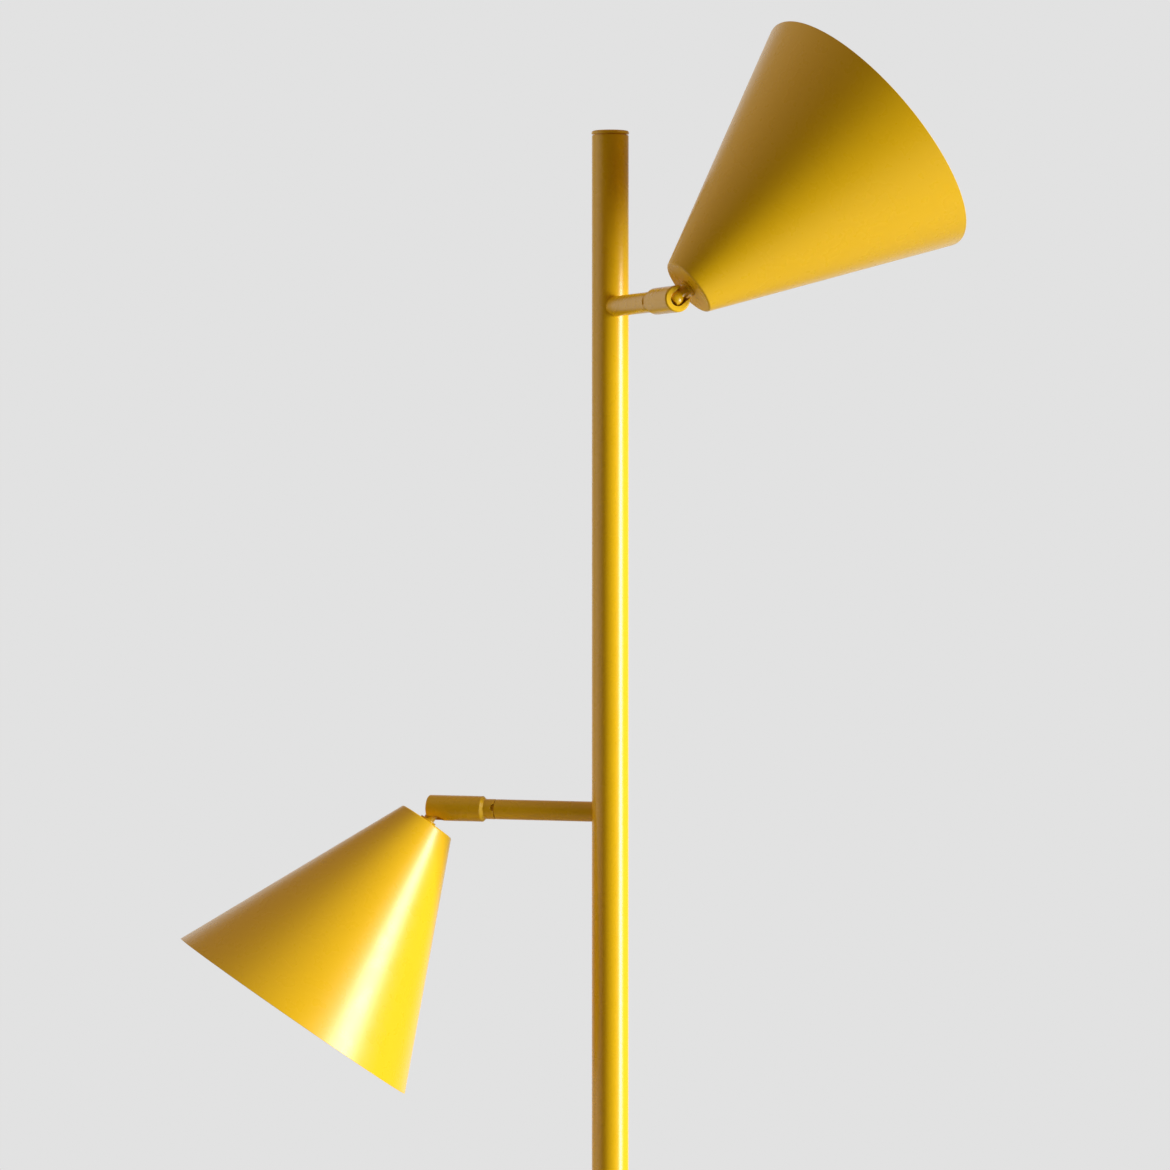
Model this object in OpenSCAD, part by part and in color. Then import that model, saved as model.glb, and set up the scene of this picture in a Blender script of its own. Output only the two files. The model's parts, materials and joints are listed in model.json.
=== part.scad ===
// Floor lamp with two swivelling cone spots on one pole.
// The pole stands on +Z with its axis through the origin, and the floor is z = 0.
// The lower arm points along -X.  Lengths are in millimetres and angles in degrees.

/* [Stand] */
// Height of the top of the pole cap above the floor
lamp_h = 1500; // [1400:10:1700]
// Outside diameter of the pole
pole_d = 22; // [21:0.5:25]
// Wall of the pole tubes
pole_wall = 1.2; // [1:0.1:1.6]
// Height of the seam between the two pole tubes
seam_z = 750; // [600:10:850]
// Length of the sleeve that joins the two pole tubes
coupler_len = 80; // [60:5:120]
// Wall of that sleeve
coupler_wall = 2; // [1.6:0.1:2.5]
// Thread diameter of the grub screws in the sleeve
grub_d = 4; // [3:0.5:5]
// Height of the cap disc that shows on top of the pole
cap_h = 2; // [2:0.1:4]
// Distance by which the cap stands out past the pole
cap_lip = 0.2; // [0.1:0.1:0.5]
// Round on the cap's upper edge
cap_round = 1.2; // [0.5:0.1:1.8]
// Height of the shadow gap between the cap and the pole
cap_gap = 0.8; // [0.3:0.1:1]
// Length of the cap's spigot inside the pole
cap_spigot = 12; // [8:1:20]

/* [Base] */
// Diameter of the base cover
base_d = 260; // [230:5:300]
// Height of the cover's top above the pad
cover_rise = 22; // [21:1:30]
// Sheet thickness of the cover
cover_wall = 1.2; // [1:0.1:1.6]
// Fall of the cover's top from the pole to its edge
cover_fall = 3; // [1:0.5:4]
// Radius of the cover's rolled edge
cover_edge_r = 8; // [6:0.5:10]
// Height of the cover's lower edge above the floor
cover_clear = 1; // [0.5:0.5:1.5]
// Thickness of the pad under the base
pad_t = 2; // [1.5:0.5:3]
// Clearance between the iron weight and the side of the cover
weight_gap = 1.8; // [1:0.2:3]
// Clearance between the iron weight and the top of the cover
weight_headroom = 3.8; // [3:0.2:5]
// Diameter of the boss on the weight that carries the cover
hub_d = 60; // [50:1:80]
// Iron left above the nut's pocket
hub_web = 6; // [5:0.5:8]
// Diameter of the collar round the foot of the pole
collar_d = 34; // [32:0.5:44]
// Height of the collar
collar_h = 10; // [8:0.5:16]
// Thickness of the collar's floor under the pole
collar_floor = 2; // [1.5:0.5:4]
// Thread diameter of the pole's hollow foot
foot_d = 14; // [13:0.5:15]
// Bore of the foot, for the leads
foot_bore = 9; // [8.5:0.1:10]
// Length of the foot inside the pole
foot_plug = 25; // [18:1:40]
// Nut under the base, across its flats
base_nut_af = 22; // [20:0.5:24]
// Height of the nut under the base
base_nut_h = 6; // [5:0.5:7]
// Diameter of the washer under the base
base_washer_d = 28; // [27:0.5:32]
// Thickness of the washer under the base
base_washer_t = 2; // [1.5:0.5:2.5]
// Bore of the cable inlet
inlet_bore = 6.5; // [5:0.5:7]
// Flange diameter of the cable inlet
inlet_flange_d = 11; // [10.5:0.1:11.5]
// Terminal block, width
block_w = 22; // [18:1:28]
// Terminal block, depth
block_l = 18; // [14:1:24]
// Terminal block, height
block_h = 10; // [8:0.5:10.5]
// Distance from the pole axis to the terminal block
block_y = 45; // [38:1:70]

/* [Arms] */
// Distance of the upper arm's axis below the top of the pole cap
upper_drop = 105; // [80:0.1:140]
// Distance between the two arms' axes
arm_spacing = 302.2; // [260:0.1:360]
// Direction of the upper arm, turned from +X
upper_turn = -52.5; // [-80:0.5:-30]
// Direction of the lower arm, turned from +X
lower_turn = 180; // [160:1:200]
// Outside diameter of the arm tube
arm_d = 12.1; // [11.8:0.1:12.6]
// Wall of the arm tube
arm_wall = 1.2; // [1:0.1:1.3]
// Distance from the pole axis to the end of the arm tube
arm_end = 72.2; // [65:0.1:90]
// Outside diameter of the lead in each arm
lead_d = 3; // [2.6:0.1:3.2]

/* [Swivel joint] */
// Diameter of the hollow spindle that the holder turns on
spindle_d = 7; // [6.8:0.1:7.2]
// Bore of the spindle, for the lead
spindle_bore = 3.6; // [3.4:0.1:3.8]
// Length of the bush in the end of the arm
bush_len = 12.8; // [11:0.1:16]
// Thickness of the friction washer
friction_t = 1; // [0.8:0.1:1.5]
// How far the friction washer stands out of the arm
friction_proud = 0.2; // [0.1:0.1:0.4]
// Thickness of the spring washer behind the bush
swivel_spring_h = 0.9; // [0.8:0.1:1.2]
// Diameter of the ring nut on the spindle
ring_nut_d = 9; // [8.8:0.1:9.1]
// Thickness of the ring nut
ring_nut_h = 3; // [2.5:0.1:4]
// Depth of the stop groove round the spindle
groove_depth = 0.9; // [0.8:0.05:0.95]
// Diameter of the stop pin
stop_pin_d = 1; // [0.8:0.1:1.1]
// Diameter of the holder's neck
neck_d = 12.2; // [12:0.1:12.6]
// Length of the neck in front of the arm
neck_len = 6.6; // [4:0.1:8]
// Length of the cone between the neck and the holder
neck_cone = 1.8; // [1:0.1:4]
// Diameter of the half-round notch in the end of the neck
notch_d = 4.4; // [3:0.1:5]
// Depth of the notch
notch_depth = 1.4; // [0.5:0.1:1.4]
// Where the notch faces on the upper neck, turned from the holder's slot
upper_notch_turn = 140.6; // [110:0.1:160]
// Where the notch faces on the lower neck, turned from the holder's slot
lower_notch_turn = 84.3; // [60:0.1:100]

/* [Ball joint] */
// Outside diameter of the holder
holder_d = 15.5; // [15:0.1:16]
// Length of the holder's straight part
holder_len = 34.8; // [31:0.1:40]
// Bore of the holder, round the ball
holder_bore = 11.4; // [11:0.1:11.8]
// Edge break on the holder's end face
holder_chamfer = 0.8; // [0.3:0.1:1]
// Distance from the ball's centre to the holder's end face
ball_setback = 5; // [4.8:0.1:5.2]
// Diameter of the ball
ball_d = 10.1; // [9.9:0.1:10.4]
// Distance from the ball's centre to its flat back end
ball_back = 2.2; // [2:0.1:4]
// Diameter of the holder's mouth, which keeps the ball in
mouth_d = 8.6; // [8:0.1:9.6]
// Diameter of the stud between the ball and the shade
stud_d = 6.8; // [6.4:0.1:6.9]
// Bore through the ball and stud, for the lead
stud_bore = 3.6; // [3:0.1:4]
// Width of the slot in the holder
slot_w = 8.5; // [7.3:0.1:9]
// Length of the slot from the holder's end face
slot_len = 10.6; // [10.2:0.1:12]
// Diameter of the stud's flange under the shade
flange_d = 10.4; // [9:0.1:11]
// Thickness of the stud's flange
flange_t = 1.5; // [1:0.1:1.5]
// Running clearance of the moving fits
running_gap = 0.05; // [0.03:0.01:0.08]

/* [Shade] */
// Distance from the ball's centre to the shade's flat end
shade_offset = 10.3; // [10.2:0.1:13]
// Length of the shade
shade_len = 142.5; // [130:0.1:160]
// Diameter of the shade's flat end, where its cone would meet it
shade_end_d = 35.4; // [34:0.1:42]
// Diameter of the shade's rim
shade_rim_d = 164.5; // [150:0.1:168]
// Sheet thickness of the shade
shade_wall = 0.8; // [0.6:0.1:1.2]
// Round between the flat end and the cone
shade_round = 1.5; // [1.3:0.1:3]

/* [Lampholder and bulb] */
// Nut inside the shade, across its flats
stud_nut_af = 12; // [11:0.5:13]
// Height of the nut inside the shade
stud_nut_h = 4.5; // [4:0.1:6]
// Thickness of the lock washer under that nut
lock_washer_t = 1; // [0.8:0.1:1.5]
// Length of the stud's thread past that nut
stud_tail = 6; // [4:0.5:8]
// Outside diameter of the lampholder
socket_d = 26; // [25:0.5:28]
// Length of the lampholder's cap
socket_cap_len = 16; // [14:0.5:20]
// Length of the lampholder's barrel
socket_len = 30; // [28:0.5:34]
// Wall of the lampholder
socket_wall = 1.6; // [1.4:0.1:2]
// Thickness of the insulating floor in the barrel
socket_floor = 4; // [3:0.5:5]
// Bore of the brass screw shell
shell_bore = 14.3; // [14.1:0.1:14.6]
// Wall of the brass screw shell
shell_wall = 0.5; // [0.4:0.1:0.8]
// Height of the brass screw shell
shell_h = 19; // [17:0.5:21]
// Height of the centre contact above the floor
contact_h = 2.5; // [2:0.1:3]
// Diameter of the bulb's screw cap
bulb_cap_d = 13.7; // [13.5:0.1:13.9]
// Length of the bulb's cap, from its contact
bulb_cap_len = 24; // [22:0.5:25]
// Diameter of the bulb's flared neck
bulb_neck_d = 16; // [15:0.5:17]
// Diameter of the bulb
bulb_d = 45; // [43:0.5:46]
// Length of the whole bulb
bulb_len = 78; // [77:0.5:82]

/* [Pose] */
// Turn of the upper holder about its arm, from slot down
upper_swivel = 129.4; // [-155:0.1:155]
// Tilt of the upper shade away from its arm's line
upper_tilt = 89.5; // [0:0.1:95]
// Turn of the lower holder about its arm, from slot down
lower_swivel = 19.7; // [-155:0.1:155]
// Tilt of the lower shade away from its arm's line
lower_tilt = 60; // [0:0.1:95]

/* [Hidden] */

$fn = 96;

// Colours
paint = [0.87, 0.63, 0.07];
steel = [0.62, 0.63, 0.64];
brass = [0.78, 0.62, 0.30];
iron = [0.22, 0.22, 0.23];
fibre = [0.16, 0.13, 0.11];
rubber = [0.09, 0.09, 0.09];
white_plastic = [0.90, 0.89, 0.86];
opal = [0.97, 0.96, 0.92];

// Gap of fixed fits, and a length that makes a cut run clear of its solid
fit_gap = 0.05;
cut = 1;
// Hole clearance round a fastener or a bush, on the radius
hole_gap = 0.2;

// Stand
pole_r = pole_d / 2;
pole_bore_r = pole_r - pole_wall;
upper_arm_z = lamp_h - upper_drop;
lower_arm_z = upper_arm_z - arm_spacing;
pole_top = lamp_h - cap_h - cap_gap;
cap_neck_r = pole_r - 0.9;
grub_len = coupler_wall + pole_wall;
grub_inset = 0.3;
grub_socket_d = grub_d / 2;
coupler_r = pole_bore_r - fit_gap;
coupler_bore_r = coupler_r - coupler_wall;

// Base, from the floor up
cover_top = pad_t + cover_rise;
hub_top = cover_top - cover_wall;
weight_top = cover_top - cover_fall - cover_wall - weight_headroom;
weight_r = base_d / 2 - cover_wall - weight_gap;
pad_r = weight_r - 1;
foot_r = foot_d / 2;
foot_hole_r = foot_r + hole_gap;
pole_bottom = cover_top + collar_floor;
pocket_roof = hub_top - hub_web;
pocket_r = base_washer_d / 2 + 2;
washer_z = pocket_roof - base_washer_t;
base_nut_z = washer_z - base_nut_h;
foot_end = base_nut_z - 0.5;
lead_r = lead_d / 2;
// The leads turn up into the foot on this radius, and run above the pad before it
base_bend_r = lead_d * 1.5;
run_z = foot_end - base_bend_r;
block_z = run_z - lead_r;
block_gap = 0.5;
block_hole_depth = 3;
screw_d = 3.2;
screw_len = 5;
screw_slot = 0.7;
screw_inset = 0.4;
lead_channel_w = 10;
lead_channel_top = run_z + lead_r + 1;
inlet_r = inlet_bore / 2;
inlet_barrel_r = inlet_r + 1.15;
inlet_flange_r = inlet_flange_d / 2;
inlet_flange_t = 2;
inlet_barb = 0.5;
inlet_barb_len = 1.4;
inlet_z = cover_clear + inlet_flange_r + 0.7;
inlet_inner_len = 6;
inlet_channel_w = 13;
inlet_channel_top = inlet_z + inlet_barrel_r + inlet_barb + 0.3;

// Arms: distances from the pole axis along the arm
arm_r = arm_d / 2;
arm_bore_r = arm_r - arm_wall;
arm_chamfer = 0.3;
lead_offset = 2.2;
arm_bend_r = pole_r - lead_offset - 0.8;
wire_hole_r = 4;

// Swivel joint
spindle_r = spindle_d / 2;
friction_x = arm_end + friction_proud - friction_t;
bush_x = friction_x - bush_len;
spring_x = bush_x - swivel_spring_h;
ring_nut_x = spring_x - ring_nut_h;
ring_nut_slot = 1.6;
spindle_x = ring_nut_x - 1;
neck_x = arm_end + friction_proud;
cone_x = neck_x + neck_len;
holder_x = cone_x + neck_cone;
neck_spigot_len = 8;
neck_spigot_r = holder_bore / 2 + 0.5;
neck_edge = 0.5;
spindle_end = holder_x + 4;
stop_x = bush_x + bush_len / 2;
groove_w = stop_pin_d + 0.6;
stop_land_w = 0.8;
stop_pin_tip = spindle_r - groove_depth + 0.15;
sheet_t = 0.5;

// Ball joint
holder_r = holder_d / 2;
holder_end = holder_x + holder_len;
ball_x = holder_end - ball_setback;
ball_r = ball_d / 2;
mouth_r = mouth_d / 2;
stud_r = stud_d / 2;
// Where the ball, with its running gap, bears on the edge of the mouth
lip_x = ball_x + sqrt(pow(ball_r + running_gap, 2) - pow(mouth_r, 2));
neck_end = holder_x + neck_spigot_len;
seat_r = holder_bore / 2 - running_gap;
// The seat stops behind the tilted stud
seat_front = ball_x - stud_r - 0.7;
seat_len = 8;
seat_back = seat_front - seat_len;
seat_bore_r = stud_bore / 2;
spring_count = 6;
spring_gap = 0.1;
spring_pitch = (seat_back - neck_end) / spring_count;
spring_bore_r = seat_bore_r + 0.6;

// Shade, measured along its own axis from its flat end
shade_slope = atan((shade_rim_d - shade_end_d) / 2 / shade_len);
round_steps = 8;
stud_hole_r = stud_r + 0.1;
washer_s = shade_wall;
stud_nut_s = washer_s + lock_washer_t;
socket_s = stud_nut_s + stud_nut_h;
stud_end = socket_s + stud_tail;
socket_r = socket_d / 2;
socket_neck_r = stud_nut_af / 2 + 1;
barrel_s = socket_s + socket_cap_len;
barrel_seat = 3;
floor_s = barrel_s + barrel_seat;
floor_top = floor_s + socket_floor;
shell_r = shell_bore / 2;
contact_r = 3;
bulb_s = floor_top + contact_h;
bulb_cap_r = bulb_cap_d / 2;
bulb_r = bulb_d / 2;
bulb_glass_s = bulb_s + bulb_cap_len;
bulb_centre = bulb_s + bulb_len - bulb_r;
glass_wall = 0.9;
bulb_neck_r = bulb_neck_d / 2;
// The hollow between the neck and the globe has this radius, tangent to both
neck_fillet = 14;
neck_turn = asin((bulb_neck_r + neck_fillet) / (bulb_r + neck_fillet));
neck_fillet_s = bulb_centre - (bulb_r + neck_fillet) * cos(neck_turn);

// Heads: arm direction, arm height, swivel, tilt and notch direction
upper = [upper_turn, upper_arm_z, upper_swivel, upper_tilt, upper_notch_turn];
lower = [lower_turn, lower_arm_z, lower_swivel, lower_tilt, lower_notch_turn];

// Frames.  In each one X is the axis that its pieces are turned about.
module at_arm(head) {
    translate([0, 0, head[1]])
        rotate([0, 0, head[0]])
            children();
}

module at_holder(head) {
    at_arm(head)
        rotate([head[2], 0, 0])
            children();
}

module at_ball(head) {
    at_holder(head)
        translate([ball_x, 0, 0])
            rotate([0, head[3], 0])
                children();
}

module at_shade(head) {
    at_ball(head)
        translate([shade_offset, 0, 0])
            children();
}

// Lays what stands on Z along X
module along_x() {
    rotate([0, 90, 0])
        children();
}

// A piece turned about X from its half section, given as [radius, place along X]
module turned(section) {
    along_x()
        rotate_extrude()
            polygon(section);
}

// A ring about X
module ring(x, len, outer_r, inner_r) {
    turned([[inner_r, x], [outer_r, x], [outer_r, x + len], [inner_r, x + len]]);
}

// A rod about X
module rod(x, len, r) {
    translate([x, 0, 0])
        along_x()
            cylinder(h = len, r = r);
}

// A hexagon about X
module hexagon(x, len, af) {
    translate([x, 0, 0])
        along_x()
            cylinder(h = len, d = af / cos(30), $fn = 6);
}

// A tube on Z
module tube(z, len, outer_r, inner_r) {
    translate([0, 0, z])
        difference() {
            cylinder(h = len, r = outer_r);
            translate([0, 0, -cut])
                cylinder(h = len + 2 * cut, r = inner_r);
        }
}

// Points on an arc in the half section, from angle a0 to a1 about [r, x]
function arc(r, x, radius, a0, a1, steps) = [
    for (i = [0 : steps])
        let (a = a0 + (a1 - a0) * i / steps)
        [r + radius * cos(a), x + radius * sin(a)]
];

// ---- Stand ----

module coupler_screw_places() {
    for (side = [-1, 1])
        translate([0, 0, seam_z + side * coupler_len / 4])
            rotate([0, 0, 90])
                children();
}

module pole_lower() {
    color(paint)
        difference() {
            tube(pole_bottom, seam_z - pole_bottom, pole_r, pole_bore_r);
            coupler_screw_places()
                rod(0, pole_r + cut, grub_d / 2 + hole_gap / 2);
        }
}

module pole_upper() {
    color(paint)
        difference() {
            tube(seam_z, pole_top - seam_z, pole_r, pole_bore_r);
            coupler_screw_places()
                rod(0, pole_r + cut, grub_d / 2 + hole_gap / 2);
            for (head = [upper, lower])
                at_arm(head)
                    rod(0, pole_r + cut, wire_hole_r);
        }
}

module pole_coupler() {
    color(steel)
        difference() {
            tube(seam_z - coupler_len / 2, coupler_len, coupler_r, coupler_bore_r);
            coupler_screw_places()
                rod(0, pole_r, grub_d / 2 + fit_gap);
        }
}

module coupler_screws() {
    color(steel)
        coupler_screw_places()
            difference() {
                rod(pole_r - grub_inset - grub_len, grub_len, grub_d / 2);
                hexagon(pole_r - grub_inset - grub_len / 2, grub_len, grub_socket_d);
            }
}

module pole_cap() {
    disc_r = pole_r + cap_lip;
    disc_z = pole_top + cap_gap;
    rounded_edge = arc(disc_r - cap_round, lamp_h - cap_round, cap_round, 0, 90, round_steps);
    section = concat(
        [
            [0, pole_top - cap_spigot],
            [pole_bore_r - fit_gap - 1, pole_top - cap_spigot],
            [pole_bore_r - fit_gap, pole_top - cap_spigot + 1],
            [pole_bore_r - fit_gap, pole_top],
            [cap_neck_r, pole_top],
            [cap_neck_r, disc_z],
            [disc_r, disc_z]
        ],
        rounded_edge,
        [[0, lamp_h]]
    );
    color(paint)
        rotate_extrude()
            polygon(section);
}

module pole_foot() {
    color(steel)
        difference() {
            union() {
                translate([0, 0, foot_end])
                    cylinder(h = pole_bottom - foot_end, r = foot_r);
                translate([0, 0, pole_bottom])
                    cylinder(h = foot_plug, r = pole_bore_r - fit_gap);
            }
            translate([0, 0, foot_end - cut])
                cylinder(h = pole_bottom - foot_end + foot_plug + 2 * cut, r = foot_bore / 2);
        }
}

module foot_collar() {
    edge = 1.5;
    collar_r = collar_d / 2;
    seat_r = pole_r + fit_gap;
    color(paint)
        rotate_extrude()
            polygon(concat(
                [
                    [foot_hole_r, cover_top],
                    [collar_r, cover_top]
                ],
                arc(collar_r - edge, cover_top + collar_h - edge, edge, 0, 90, round_steps),
                [
                    [seat_r, cover_top + collar_h],
                    [seat_r, pole_bottom],
                    [foot_hole_r, pole_bottom]
                ]
            ));
}

// ---- Base ----

module base_cover() {
    edge_x = base_d / 2 - cover_edge_r;
    edge_z = cover_top - cover_fall - cover_edge_r;
    inner_edge_r = cover_edge_r - cover_wall;
    flat_r = collar_d / 2 + 3;
    section = concat(
        [[foot_hole_r, cover_top], [flat_r, cover_top]],
        arc(edge_x, edge_z, cover_edge_r, 90, 0, round_steps),
        [[base_d / 2, cover_clear], [base_d / 2 - cover_wall, cover_clear]],
        arc(edge_x, edge_z, inner_edge_r, 0, 90, round_steps),
        [[flat_r, hub_top], [foot_hole_r, hub_top]]
    );
    color(paint)
        difference() {
            rotate_extrude()
                polygon(section);
            translate([0, 0, inlet_z])
                rotate([0, 0, 90])
                    rod(base_d / 2 - 3 * cover_wall, 4 * cover_wall, inlet_barrel_r + fit_gap);
        }
}

module base_weight() {
    // The boss keeps inside the part of the cover that is level
    boss_r = min(hub_d / 2, collar_d / 2 + 3);
    edge = 1;
    block_room = 2 * block_gap;
    color(iron)
        difference() {
            rotate_extrude()
                polygon([
                    [foot_hole_r, pad_t],
                    [weight_r, pad_t],
                    [weight_r, weight_top - edge],
                    [weight_r - edge, weight_top],
                    [hub_d / 2, weight_top],
                    [boss_r, hub_top],
                    [foot_hole_r, hub_top]
                ]);
            translate([0, 0, pad_t - cut])
                cylinder(h = pocket_roof - pad_t + cut, r = pocket_r);
            // Lead channel from the pole's foot to the terminal block
            translate([-lead_channel_w / 2, 0, pad_t - cut])
                cube([lead_channel_w, block_y, lead_channel_top - pad_t + cut]);
            // Pocket for the terminal block
            translate([-block_w / 2 - block_gap, block_y - block_gap, pad_t - cut])
                cube([block_w + block_room, block_l + block_room, block_z + block_h - pad_t + cut]);
            // Channel from the terminal block to the cable inlet
            translate([-inlet_channel_w / 2, block_y + block_l, pad_t - cut])
                cube([inlet_channel_w, base_d / 2, inlet_channel_top - pad_t + cut]);
        }
}

module base_washer() {
    color(steel)
        tube(washer_z, base_washer_t, base_washer_d / 2, foot_r + fit_gap);
}

module base_nut() {
    color(steel)
        translate([0, 0, base_nut_z])
            difference() {
                cylinder(h = base_nut_h, d = base_nut_af / cos(30), $fn = 6);
                translate([0, 0, -cut])
                    cylinder(h = base_nut_h + 2 * cut, r = foot_r + fit_gap);
            }
}

module base_pad() {
    color(rubber)
        cylinder(h = pad_t, r = pad_r);
}

module cable_inlet() {
    wall_x = base_d / 2;
    barb_x = wall_x - cover_wall - 0.3 - inlet_barb_len;
    barb_r = inlet_barrel_r + inlet_barb;
    color(rubber)
        translate([0, 0, inlet_z])
            rotate([0, 0, 90])
                turned([
                    [inlet_r, wall_x - inlet_inner_len],
                    [inlet_barrel_r, wall_x - inlet_inner_len],
                    [inlet_barrel_r, barb_x],
                    [barb_r, barb_x + inlet_barb_len],
                    [inlet_barrel_r, barb_x + inlet_barb_len],
                    [inlet_barrel_r, wall_x],
                    [inlet_flange_r, wall_x],
                    [inlet_flange_r, wall_x + inlet_flange_t - 0.5],
                    [inlet_flange_r - 0.5, wall_x + inlet_flange_t],
                    [inlet_r, wall_x + inlet_flange_t]
                ]);
}

module terminal_screw_places() {
    for (x = [-block_w / 4, block_w / 4])
        for (y = [block_l / 4, block_l * 3 / 4])
            translate([x, block_y + y, block_z])
                children();
}

module terminal_block() {
    color(white_plastic)
        difference() {
            translate([-block_w / 2, block_y, block_z])
                cube([block_w, block_l, block_h]);
            terminal_screw_places()
                translate([0, 0, -cut])
                    cylinder(h = screw_inset + screw_len + cut, d = screw_d + 2 * fit_gap);
            translate([0, block_y + block_l, block_z + block_h / 2])
                rotate([0, 0, 90])
                    rod(-block_hole_depth, block_hole_depth + cut, inlet_r);
        }
}

module terminal_screws() {
    color(brass)
        terminal_screw_places()
            translate([0, 0, screw_inset])
                difference() {
                    cylinder(h = screw_len, d = screw_d);
                    translate([-screw_d, -screw_slot / 2, -cut])
                        cube([2 * screw_d, screw_slot, 1 + cut]);
                }
}

// ---- Arm and its lead ----

module arm(head) {
    color(paint)
        at_arm(head)
            difference() {
                turned([
                    [arm_bore_r, 0],
                    [arm_r, 0],
                    [arm_r, arm_end - arm_chamfer],
                    [arm_r - arm_chamfer, arm_end],
                    [arm_bore_r, arm_end]
                ]);
                translate([0, 0, -arm_d])
                    cylinder(h = 2 * arm_d, r = pole_r);
            }
}

// Quarter bend in the XZ plane, from angle a to a + 90
module lead_bend(radius, a) {
    rotate([90, 0, 0])
        rotate([0, 0, a])
            rotate_extrude(angle = 90)
                translate([radius, 0])
                    circle(r = lead_r);
}

// From the terminal block, up the pole and out to the end of the spindle
module lead(head) {
    foot_x = lead_offset * cos(head[0]);
    foot_y = lead_offset * sin(head[0]);
    up_z = run_z + base_bend_r;
    turn_z = head[1] - arm_bend_r;
    color(white_plastic) {
        translate([foot_x, foot_y, 0])
            rotate([0, 0, 90]) {
                translate([base_bend_r, 0, run_z])
                    rod(0, block_y - foot_y - base_bend_r, lead_r);
                translate([base_bend_r, 0, up_z])
                    lead_bend(base_bend_r, 180);
            }
        translate([foot_x, foot_y, up_z])
            cylinder(h = turn_z - up_z, r = lead_r);
        at_arm(head) {
            translate([lead_offset + arm_bend_r, 0, -arm_bend_r])
                lead_bend(arm_bend_r, 90);
            rod(lead_offset + arm_bend_r, spindle_x - lead_offset - arm_bend_r, lead_r);
        }
    }
}

// ---- Swivel joint ----

module arm_bush(head) {
    color(steel)
        at_arm(head)
            difference() {
                ring(bush_x, bush_len, arm_bore_r - fit_gap, spindle_r + running_gap);
                translate([stop_x, 0, -arm_bore_r - cut])
                    cylinder(h = arm_bore_r + cut, d = stop_pin_d + 2 * fit_gap);
            }
}

module friction_washer(head) {
    color(fibre)
        at_arm(head)
            ring(friction_x, friction_t, arm_bore_r - fit_gap, spindle_r + hole_gap);
}

// A pin through the underside of the bush, with its tip in the spindle's groove
module stop_pin(head) {
    pin_out = arm_bore_r - 2 * fit_gap;
    color(steel)
        at_arm(head)
            translate([stop_x, 0, -pin_out])
                cylinder(h = pin_out - stop_pin_tip, d = stop_pin_d);
}

module spindle(head) {
    color(steel)
        at_holder(head)
            difference() {
                ring(spindle_x, spindle_end - spindle_x, spindle_r, spindle_bore / 2);
                // Stop groove, open all round but for a land opposite the pin
                difference() {
                    ring(stop_x - groove_w / 2, groove_w, spindle_r + cut, spindle_r - groove_depth);
                    translate([stop_x - groove_w, -stop_land_w / 2, 0])
                        cube([2 * groove_w, stop_land_w, spindle_r + 2 * cut]);
                }
            }
}

module spindle_nut(head) {
    nut_r = ring_nut_d / 2;
    color(brass)
        at_holder(head)
            difference() {
                ring(ring_nut_x, ring_nut_h, nut_r, spindle_r + fit_gap);
                translate([ring_nut_x - cut, -nut_r - cut, -ring_nut_slot / 2])
                    cube([1 + cut, 2 * nut_r + 2 * cut, ring_nut_slot]);
            }
}

// A coned spring washer between the bush and the ring nut
module swivel_spring(head) {
    outer_r = ring_nut_d / 2 - fit_gap;
    inner_r = spindle_r + hole_gap;
    color(steel)
        at_holder(head)
            turned([
                [inner_r, spring_x],
                [outer_r, bush_x - sheet_t],
                [outer_r, bush_x],
                [inner_r, spring_x + sheet_t]
            ]);
}

module neck(head) {
    color(paint)
        at_holder(head)
            difference() {
                turned([
                    [spindle_r + fit_gap, neck_x],
                    [neck_d / 2 - neck_edge, neck_x],
                    [neck_d / 2, neck_x + neck_edge],
                    [neck_d / 2, cone_x],
                    [holder_r, holder_x],
                    [neck_spigot_r, holder_x],
                    [neck_spigot_r, neck_end],
                    [spindle_r + fit_gap, neck_end]
                ]);
                rotate([head[4], 0, 0])
                    translate([neck_x, 0, -neck_d / 2 - cut])
                        cylinder(h = notch_depth + cut, d = notch_d);
            }
}

// ---- Ball joint ----

module holder(head) {
    slot_x = holder_end - slot_len + slot_w / 2;
    color(paint)
        at_holder(head)
            difference() {
                turned([
                    [neck_spigot_r + fit_gap, holder_x],
                    [holder_r, holder_x],
                    [holder_r, holder_end - holder_chamfer],
                    [holder_r - holder_chamfer, holder_end],
                    [mouth_r, holder_end],
                    [mouth_r, lip_x],
                    [holder_bore / 2, lip_x - 0.4],
                    [holder_bore / 2, neck_end + fit_gap],
                    [neck_spigot_r + fit_gap, neck_end + fit_gap]
                ]);
                translate([slot_x, 0, -holder_r - cut])
                    cylinder(h = holder_r + cut, d = slot_w);
                translate([slot_x, -slot_w / 2, -holder_r - cut])
                    cube([slot_len, slot_w, holder_r + cut]);
            }
}

module ball_seat(head) {
    color(fibre)
        at_holder(head)
            difference() {
                ring(seat_back, seat_len, seat_r, seat_bore_r);
                translate([ball_x, 0, 0])
                    sphere(r = ball_r + running_gap);
            }
}

// Coned spring washers that push the seat against the ball, set back to back
module seat_spring(head) {
    outer_r = seat_r - 0.2;
    rise = spring_pitch - spring_gap - sheet_t;
    color(steel)
        at_holder(head)
            for (i = [0 : spring_count - 1])
                let (
                    x = neck_end + i * spring_pitch + spring_gap / 2,
                    inner_rise = i % 2 == 0 ? 0 : rise,
                    outer_rise = rise - inner_rise
                )
                turned([
                    [spring_bore_r, x + inner_rise],
                    [outer_r, x + outer_rise],
                    [outer_r, x + outer_rise + sheet_t],
                    [spring_bore_r, x + inner_rise + sheet_t]
                ]);
}

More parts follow.
